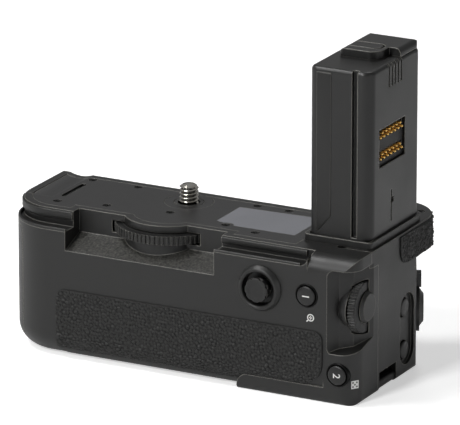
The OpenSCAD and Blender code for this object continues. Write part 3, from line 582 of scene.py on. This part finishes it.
# Draws a line of edges in XZ from the start, with the steps of the profile, and stays in edit mode
def drawProfile(name, start, profile):
    deselect()
    bpy.ops.mesh.primitive_plane_add(size=mm)
    piece = bpy.context.object
    piece.name = name
    editMode()
    bpy.ops.mesh.select_mode(type="VERT")
    selectAll()
    bpy.ops.mesh.merge(type="CENTER")
    bpy.ops.transform.translate(value=(start[0] * mm, 0, start[1] * mm))
    for a, b in zip(profile, profile[1:]):
        step = ((b[0] - a[0]) * mm, 0, (b[1] - a[1]) * mm)
        bpy.ops.mesh.extrude_region_move(TRANSFORM_OT_translate={"value": step})
    return piece


def lathe(name, profile, steps=72):
    piece = drawProfile(name, profile[0], profile)
    selectAll()
    bpy.ops.mesh.spin(steps=steps, angle=math.tau, center=(0, 0, 0), axis=(0, 0, 1))
    selectAll()
    bpy.ops.mesh.remove_doubles(threshold=weld)
    bpy.ops.mesh.normals_make_consistent(inside=False)
    objectMode()
    smoothShade(piece)
    return piece


# Knurled dials: a ring of points, some of them drawn in to make the valleys, then raised, bevelled and bored
knurl = {"points": 8, "sink": ((4, 1.0), (3, 0.9), (5, 0.9), (2, 0.45), (6, 0.45)), "edgeSegments": 3,
         "edgeDegrees": 60, "boreVertices": 48, "boreDepth": 20, "sharpDegrees": 40}


def knurled(name, ridge):
    deselect()
    bpy.ops.mesh.primitive_circle_add(vertices=ridge["count"] * knurl["points"], radius=ridge["r"] * mm,
                                      fill_type="NOTHING")
    piece = bpy.context.object
    piece.name = name
    for step, sink in knurl["sink"]:
        pick(piece, "VERT", lambda v: v.index % knurl["points"] == step)
        factor = 1 - sink * ridge["deep"] / ridge["r"]
        bpy.ops.transform.resize(value=(factor, factor, 1), center_override=(0, 0, 0))
        objectMode()
    only(piece)
    editMode()
    selectAll()
    bpy.ops.mesh.edge_face_add()
    bpy.ops.mesh.extrude_region_move(TRANSFORM_OT_translate={"value": (0, 0, ridge["thick"] * mm)})
    selectAll()
    bpy.ops.mesh.normals_make_consistent(inside=False)
    objectMode()
    bevelEdges(piece, ridge["edge"], knurl["edgeSegments"], knurl["edgeDegrees"])
    drill(piece, (0, 0, 0), ridge["bore"], knurl["boreDepth"], knurl["boreVertices"])
    smoothShade(piece, knurl["sharpDegrees"])
    return piece


dials = [{"name": "rearDialKnurl", "node": "rear_dial", "count": 48, "r": 8.6, "deep": 0.45, "thick": 2.6,
          "bore": 1.56, "edge": 0.3},
         {"name": "frontDialKnurl", "node": "front_dial", "count": 36, "r": 5.5, "deep": 0.35, "thick": 2.2,
          "bore": 1.06, "edge": 0.25}]
for dial in dials:
    low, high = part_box(dial["node"])
    centre = [(a + b) / 2 / mm for a, b in zip(low, high)]
    piece = knurled(dial["name"], dial)
    bake(piece, turnTo((1, 0, 0), (low[0] / mm, centre[1], centre[2])))
    settle(piece, bodyOf[dial["node"]], "knurl_black", [dial["node"]])
print("dials ready")

rearY = -32.6
rearward = (0, -1, 0)
endward = (1, 0, 0)

# Joystick: a rounded ring in the rear face, and a cap with notches round its edge
joy = {"x": 43.0, "z": -13.6}
bezel = {"at": (joy["x"], rearY, joy["z"]),
         "profile": [(7.75, -0.3), (7.7, 0.05)] + arc(7.3, 0.15, 0.35, 0, 60, 3)
         + arc(6.35, 1.05, 0.85, 50, 150, 8) + [(5.52, 1.0), (5.5, -1.5), (3.3, -1.8), (3.3, -2.3), (6.4, -2.4),
                                                (6.4, -0.3), (7.75, -0.3)]}
piece = lathe("joystickRing", bezel["profile"])
bake(piece, turnTo(rearward, bezel["at"]))
settle(piece, "grip", "shell_plastic", ["joystick_bezel"])

stick = {"at": (joy["x"], -26.6, joy["z"]), "steps": 96, "edge": 0.08, "edgeSegments": 2, "edgeDegrees": 40,
         "notches": 8, "notchAt": 4.45, "notchZ": 9.2, "notchR": 0.8, "notchDepth": 2.4, "notchVertices": 24,
         "profile": [(0, 8.72), (2.2, 8.74), (2.7, 8.8), (3.1, 8.95), (3.4, 9.0)]
         + arc(3.75, 8.65, 0.35, 90, 0, 4) + arc(3.75, 7.0, 0.35, 0, -90, 4)
         + [(2.4, 6.6), (2.3, 3.4), (1.5, 3.4), (1.5, 1.3), (0, 1.3)]}
piece = lathe("joystickCap", stick["profile"], stick["steps"])
for i in range(stick["notches"]):
    turn = math.tau * (i + 0.5) / stick["notches"]
    spot = (stick["notchAt"] * math.cos(turn), stick["notchAt"] * math.sin(turn), stick["notchZ"])
    drill(piece, spot, stick["notchR"], stick["notchDepth"], stick["notchVertices"])
bevelEdges(piece, stick["edge"], stick["edgeSegments"], stick["edgeDegrees"])
smoothShade(piece)
bake(piece, turnTo(rearward, stick["at"]))
settle(piece, "joystick_stick", "knurl_black", ["joystick_cap"])
print("joystick ready")

# Rear buttons: a domed key with a thin dark metal rim round it
keys = [{"name": "buttonOne", "node": "button_one", "at": (59.8, rearY, -13.6), "r": 3.2},
        {"name": "buttonTwo", "node": "button_two", "at": (71.0, rearY, -38.7), "r": 3.2}]
for key in keys:
    r = key["r"]
    crown = [(0, 0.98), (r * 0.35, 0.96), (r * 0.7, 0.86)] + arc(r - 0.42, 0.38, 0.42, 62, 0, 4)
    piece = lathe(key["name"], crown + [(r, -2.2), (r - 0.6, -2.4), (0, -2.4)])
    bake(piece, turnTo(rearward, key["at"]))
    settle(piece, bodyOf[key["node"]], "button_black", [key["node"]])
    inner = r + 0.15
    outer = r + 0.85
    rim = lathe(key["name"] + "Rim", [(inner, -2.6), (inner, -0.1)] + arc(r + 0.5, 0.0, 0.32, 170, 20, 6)
                + [(outer, -0.2), (outer, -2.6), (inner, -2.6)])
    bake(rim, turnTo(rearward, key["at"]))
    settle(rim, "grip", "screw_black", [])
print("rear buttons ready")

# Camera screw: one tooth swept along a helix, trimmed at both ends, with a chamfered tip and a plain shank
thread = {"r": 3.175, "deep": 0.62, "soft": 0.06, "pitch": 1.27, "low": -0.4, "runIn": 0.6, "top": 5.9,
          "turns": 6, "steps": 48, "shankSteps": 48, "sharpDegrees": 25,
          "tip": [(0, 9), (6, 9), (6, 3.4), (2.15, 6.05), (2.15, 5.9), (0, 5.9)],
          "shank": [(0, -0.35), (2.2, -0.35), (2.2, -5.8), (2.0, -5.8), (2.0, -9.2), (0, -9.2)]}
crest = thread["r"]
root = crest - thread["deep"]
shoulder = crest - thread["soft"]
tooth = [(root, 0), (root, 0.16), (shoulder, 0.52), (crest, 0.58), (crest, 0.7), (shoulder, 0.76), (root, 1.12),
         (root, thread["pitch"])]
piece = drawProfile("threadedScrew", (root, thread["low"] - thread["runIn"]), tooth)
objectMode()
applyModifier(piece, "SCREW", angle=math.tau, screw_offset=thread["pitch"] * mm, iterations=thread["turns"],
              steps=thread["steps"], render_steps=thread["steps"], use_merge_vertices=True, merge_threshold=weld)
editMode()
selectAll()
bpy.ops.mesh.remove_doubles(threshold=weld)
bpy.ops.mesh.bisect(plane_co=(0, 0, thread["low"] * mm), plane_no=(0, 0, 1), clear_inner=True, use_fill=True)
selectAll()
bpy.ops.mesh.bisect(plane_co=(0, 0, thread["top"] * mm), plane_no=(0, 0, 1), clear_outer=True, use_fill=True)
selectAll()
bpy.ops.mesh.normals_make_consistent(inside=False)
objectMode()
cutWith(piece, lathe("tipCutter", thread["tip"]))
joinTo(piece, [lathe("screwShank", thread["shank"], thread["shankSteps"])])
smoothShade(piece, thread["sharpDegrees"])
settle(piece, "screw", "nickel", ["camera_screw"])
print("camera screw ready:", len(piece.data.polygons))

# Dial boss: half a dome on the shell beside the rear dial, stretched a little front to back
dome = {"x": 72.88, "stretch": (1.0, 1.22, 1.0, 1.0),
        "profile": [(0, 4.9), (3.2, 4.85), (4.6, 4.45), (5.7, 3.7), (6.5, 2.7), (7.0, 1.6), (7.2, 0.6),
                    (7.25, 0.0), (3.0, 0.0), (0, 0.0)]}
low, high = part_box("rear_dial")
dialAt = ((low[1] + high[1]) / 2 / mm, (low[2] + high[2]) / 2 / mm)
piece = lathe("dialBoss", dome["profile"])
pick(piece, "FACE", lambda face: True)
bpy.ops.mesh.bisect(plane_co=(0, 0, 0), plane_no=(0, 1, 0), clear_outer=True, use_fill=True)
objectMode()
smoothShade(piece)
bake(piece, moved((dome["x"], *dialAt)) @ turned(-90, "Y") @ Matrix.Diagonal(dome["stretch"]))
settle(piece, "grip", "shell_plastic", [])
print("dial boss ready")


def crossCut(piece, cross):
    size = (cross["arm"], cross["wide"], 2 * cross["deep"])
    for turn in (0, 90):
        cutWith(piece, addCube("crossCutter", moved((0, 0, cross["top"])) @ turned(turn, "Z") @ sized(size)))


def copiesAt(name, piece, places):
    copies = []
    for place in places:
        other = piece.copy()
        other.data = piece.data.copy()
        bpy.context.collection.objects.link(other)
        bake(other, place)
        copies.append(other)
    bpy.data.objects.remove(piece)
    joinTo(copies[0], copies[1:])
    copies[0].name = name
    return copies[0]


# Plate screws: flat heads with a cross, each turned to a different angle
screws = {"at": [(-21.9, -16), (-22.2, 6.2), (0, -13), (22.2, 6.2), (22.3, -16.6), (34.5, -19.3), (33.8, 6.1),
                 (-38.6, -19.2), (-39.3, 6.2), (65.9, -19.8), (71.8, 25.8)],
          "profile": [(0, -0.08), (0.9, -0.1), (1.22, -0.16), (1.38, -0.28), (1.4, -0.58), (0.8, -0.62),
                      (0.78, -3.8), (0, -4.0)],
          "steps": 40, "firstTurn": 17, "nextTurn": 31, "sharpDegrees": 30,
          "cross": {"arm": 1.7, "wide": 0.34, "deep": 0.32, "top": -0.08}}
piece = lathe("plateScrew", screws["profile"], screws["steps"])
crossCut(piece, screws["cross"])
smoothShade(piece, screws["sharpDegrees"])
places = [moved((x, y, 0)) @ turned(screws["firstTurn"] + screws["nextTurn"] * i, "Z")
          for i, (x, y) in enumerate(screws["at"])]
piece = copiesAt("plateScrewSet", piece, places)
settle(piece, "grip", "screw_black", ["plate_screws"])
print("plate screws ready")

# Contact pins: two rows in the stem's window, each row a zigzag
pins = {"x": 75.0, "y": -10.0, "step": 1.28, "count": 13, "rows": (28.7, 35.8), "shift": 0.75, "steps": 20,
        "profile": [(0, 0.02), (0.2, 0.0), (0.34, -0.08), (0.42, -0.24), (0.44, -0.6), (0.5, -0.75),
                    (0.5, -4.6), (0, -4.6)]}
piece = lathe("contactPin", pins["profile"], pins["steps"])
places = [turnTo(endward, (pins["x"], pins["y"] + pins["step"] * i, z + (i % 2 - 0.5) * 2 * pins["shift"]))
          for i in range(pins["count"]) for z in pins["rows"]]
piece = copiesAt("contactPinSet", piece, places)
settle(piece, "grip", "gold", ["stem_contacts"])
print("contact pins ready")

# End buttons: small domed keys with a flange inside the shell
sideKeys = {"x": 75.8, "y": 5.0, "profile": [(0, 1.0), (1.2, 0.97), (2.1, 0.84)] + arc(2.6, 0.4, 0.4, 60, 0, 4)
            + [(3.0, -2.0), (3.4, -2.05), (3.4, -2.5), (0, -2.7)],
            "keys": [("endButtonUpper", "end_button_upper", -26.2),
                     ("endButtonLower", "end_button_lower", -40.8)]}
for name, node, z in sideKeys["keys"]:
    piece = lathe(name, sideKeys["profile"])
    bake(piece, turnTo(endward, (sideKeys["x"], sideKeys["y"], z)))
    settle(piece, bodyOf[node], "button_black", [node])

# Shutter button: a dished key with a rounded edge, on the slanted facet
release = {"at": (73.11, 20.28, -31.0), "axis": (0.8944, 0.4472, 0),
           "profile": [(0, 1.75), (2.0, 1.8), (3.4, 2.05), (4.2, 2.4)] + arc(4.45, 2.2, 0.28, 90, 35, 3)
           + [(6.0, 1.35)] + arc(5.95, 1.1, 0.25, 60, 0, 3)
           + [(6.2, -2.4), (6.65, -2.45), (6.65, -2.85), (1.5, -2.9), (1.5, -4.1), (0, -4.2)]}
piece = lathe("shutterKey", release["profile"])
bake(piece, turnTo(release["axis"], release["at"]))
settle(piece, bodyOf["shutter_button"], "button_black", ["shutter_button"])
print("end keys ready")

# Stem cover: a block with rounded corners, cut for a side groove, the contact window, a slot and top grooves
stem = {"low": (53.0, -18.0, 0.0), "high": (75.0, 18.0, 58.4), "top": 1.3, "topSegments": 5,
        "cornerSegments": 10, "sharpDegrees": 30,
        "corners": [((75.0, -18.0), 3.6), ((53.0, -18.0), 2.6), ((53.0, 18.0), 2.4), ((75.0, 18.0), 2.4)],
        "sideGroove": ((68.3, -19.0, 3.0), (70.2, -16.4, 60.0)),
        "window": ((72.0, -11.7, 25.3), (76.0, 7.1, 38.0)),
        "slot": ((74.3, -3.0, 5.2), (76.0, -2.2, 15.9)),
        "slotHead": ((74.3, -2.9, 11.5), (76.0, -0.9, 13.3)),
        "topGrooves": 5, "topStep": 2.2}
cuts = [stem[key] for key in ("sideGroove", "window", "slot", "slotHead")]
for k in range(stem["topGrooves"]):
    cuts.append(((74.3, -5.3 + stem["topStep"] * k, 50.6), (76.0, -4.3 + stem["topStep"] * k, 60.0)))
piece = addCube("stemCover", boxPlace(stem["low"], stem["high"]))
for corner, radius in stem["corners"]:
    spot = Vector(corner) * mm
    pickEdges(piece, lambda a, b: (a.xy - spot).length < near and (b.xy - spot).length < near)
    bpy.ops.mesh.bevel(offset=radius * mm, segments=stem["cornerSegments"], affect="EDGES")
    objectMode()
pickEdges(piece, lambda a, b: min(a.z, b.z) > stem["high"][2] * mm - near)
bpy.ops.mesh.bevel(offset=stem["top"] * mm, segments=stem["topSegments"], affect="EDGES")
objectMode()
for low, high in cuts:
    cutWith(piece, addCube("stemCutter", boxPlace(low, high)))
trueShade(piece, stem["sharpDegrees"])
settle(piece, "grip", "stem_plastic", ["stem_shell"])
print("stem cover ready:", len(piece.data.polygons))

# Ledge rails: a section in YZ with soft corners, drawn along X and, on the left, round the shell corner
railShape = {"edge": 0.3, "edgeSegments": 3, "turnSteps": 24, "sharpDegrees": 40}


def cornerRail(name, rail):
    deselect()
    bpy.ops.mesh.primitive_plane_add(size=1)
    piece = bpy.context.object
    piece.name = name
    (y0, z0), (y1, z1) = rail["section"]
    size = Matrix.Diagonal(((z1 - z0) * mm, (y1 - y0) * mm, 1, 1))
    bake(piece, moved((rail["x"], (y0 + y1) / 2, (z0 + z1) / 2)) @ turned(90, "Y") @ size)
    editMode()
    bpy.ops.mesh.select_mode(type="VERT")
    selectAll()
    bpy.ops.mesh.bevel(offset=railShape["edge"] * mm, segments=railShape["edgeSegments"], affect="VERTICES")
    bpy.ops.mesh.delete(type="ONLY_FACE")
    selectAll()
    x, y = rail["turnAt"]
    bpy.ops.mesh.extrude_region_move(TRANSFORM_OT_translate={"value": ((x - rail["x"]) * mm, 0, 0)})
    if rail["turn"]:
        bpy.ops.mesh.spin(steps=railShape["turnSteps"], angle=math.radians(rail["turn"]),
                          center=(x * mm, y * mm, 0), axis=(0, 0, 1))
    selectAll()
    bpy.ops.mesh.remove_doubles(threshold=weld)
    bpy.ops.mesh.fill_holes(sides=0)
    bpy.ops.mesh.normals_make_consistent(inside=False)
    objectMode()
    smoothShade(piece, railShape["sharpDegrees"])
    return piece


rails = {"leftBrow": {"x": -28.6, "section": ((-27.5, -3.0), (-26.5, -0.3)),
                      "turnAt": (-38.3, -12.2), "turn": 76},
         "leftLip": {"x": -28.55, "section": ((-32.57, -5.8), (-31.7, -4.5)),
                     "turnAt": (-36.0, -15.6), "turn": 90},
         "rightBrow": {"x": 57.3, "section": ((-27.5, -2.3), (-26.5, -0.3)),
                       "turnAt": (26.3, 0.0), "turn": 0},
         "rightLip": {"x": 57.3, "section": ((-32.57, -4.3), (-31.7, -3.1)),
                      "turnAt": (26.3, 0.0), "turn": 0}}
for name, rail in rails.items():
    settle(cornerRail(name, rail), "grip", "shell_plastic", [])
print("ledge rails ready:", len(rails))

# Strap bridge: a rounded bar across the strap slot
bridge = {"low": (71.6, -15.4, -48.6), "high": (76.6, -1.1, -45.8), "edge": 1.0, "edgeSegments": 4,
          "edgeDegrees": 40}
piece = addCube("strapBridge", boxPlace(bridge["low"], bridge["high"]))
bevelEdges(piece, bridge["edge"], bridge["edgeSegments"], bridge["edgeDegrees"])
smoothShade(piece)
settle(piece, "grip", "shell_plastic", ["strap_bar"])

# Stem panel: a low raised strip on the rear side of the stem, slanted at its foot
panel = {"outline": [(55.7, 3.6), (56.4, 3.6), (61.0, 9.0), (61.0, 56.9), (55.7, 56.9)], "y": -18.0,
         "proud": 0.22, "sunk": 0.3, "edge": 0.2, "edgeSegments": 3, "edgeDegrees": 60}
deselect()
bpy.ops.mesh.primitive_circle_add(vertices=len(panel["outline"]), radius=mm, fill_type="NGON")
piece = bpy.context.object
piece.name = "stemPanel"
for vert, (x, z) in zip(piece.data.vertices, panel["outline"]):
    vert.co = (x * mm, (panel["y"] + panel["sunk"]) * mm, z * mm)
only(piece)
editMode()
selectAll()
raised = (0, -(panel["proud"] + panel["sunk"]) * mm, 0)
bpy.ops.mesh.extrude_region_move(TRANSFORM_OT_translate={"value": raised})
selectAll()
bpy.ops.mesh.normals_make_consistent(inside=False)
objectMode()
bevelEdges(piece, panel["edge"], panel["edgeSegments"], panel["edgeDegrees"])
smoothShade(piece)
settle(piece, "grip", "stem_plastic", [])
print("stem panel and strap bridge ready")

# Marks: a plain numeral on each rear button, and two plain pictograms, in white pad print
ink = mouldedAbs("padPrintWhite", "#d8d8d6", "#ececea", 0.5, 0.4, 0.005, 0.02)
faceRear = turned(90, "X")


def printed(piece, body):
    settle(piece, body, "label_grey", [])
    piece.data.materials[0] = ink
    print("mark", piece.name)


numerals = {"tall": 3.6, "thick": 0.01, "bold": 0.03, "turn": -90,
            "list": [("1", (59.8, -33.62, -13.6), "button_one"), ("2", (71.0, -33.62, -38.7), "button_two")]}
for word, place, carrier in numerals["list"]:
    deselect()
    bpy.ops.object.text_add()
    piece = bpy.context.object
    piece.data.body = word
    piece.data.size = numerals["tall"] * mm
    piece.data.align_x = "CENTER"
    piece.data.align_y = "CENTER"
    piece.data.extrude = numerals["thick"] * mm
    piece.data.offset = numerals["bold"] * mm
    bpy.ops.object.convert(target="MESH")
    piece = bpy.context.object
    piece.name = "numeral" + word
    bake(piece, moved(place) @ faceRear @ turned(numerals["turn"], "Z"))
    printed(piece, bodyOf[carrier])

loupe = {"at": (61.3, -32.63, -20.8), "steps": 48,
         "profile": [(1.25, 0), (1.25, 0.02), (0.9, 0.02), (0.9, 0), (1.25, 0)],
         "arms": [((1.3, 0.3, 0.02), (0, 0, 0.01), 0), ((0.3, 1.3, 0.02), (0, 0, 0.01), 0),
                  ((0.9, 0.4, 0.02), (-1.15, -1.15, 0.01), 45)]}
piece = lathe("ringMark", loupe["profile"], loupe["steps"])
joinTo(piece, [addCube("markArm", moved(place) @ turned(turn, "Z") @ sized(size))
               for size, place, turn in loupe["arms"]])
bake(piece, moved(loupe["at"]) @ faceRear)
printed(piece, "grip")

square = {"at": (75.98, -30.02, -41.9), "turn": 55, "size": (2.7, 2.7, 0.03), "holeR": 0.3, "holeDepth": 2,
          "holeVertices": 20, "holes": [(0, 0), (-0.7, -0.7), (0.7, -0.7), (-0.7, 0.7), (0.7, 0.7)]}
piece = addCube("squareMark", sized(square["size"]))
for x, y in square["holes"]:
    drill(piece, (x, y, 0), square["holeR"], square["holeDepth"], square["holeVertices"])
bake(piece, moved(square["at"]) @ turned(square["turn"], "Z") @ faceRear)
printed(piece, "grip")
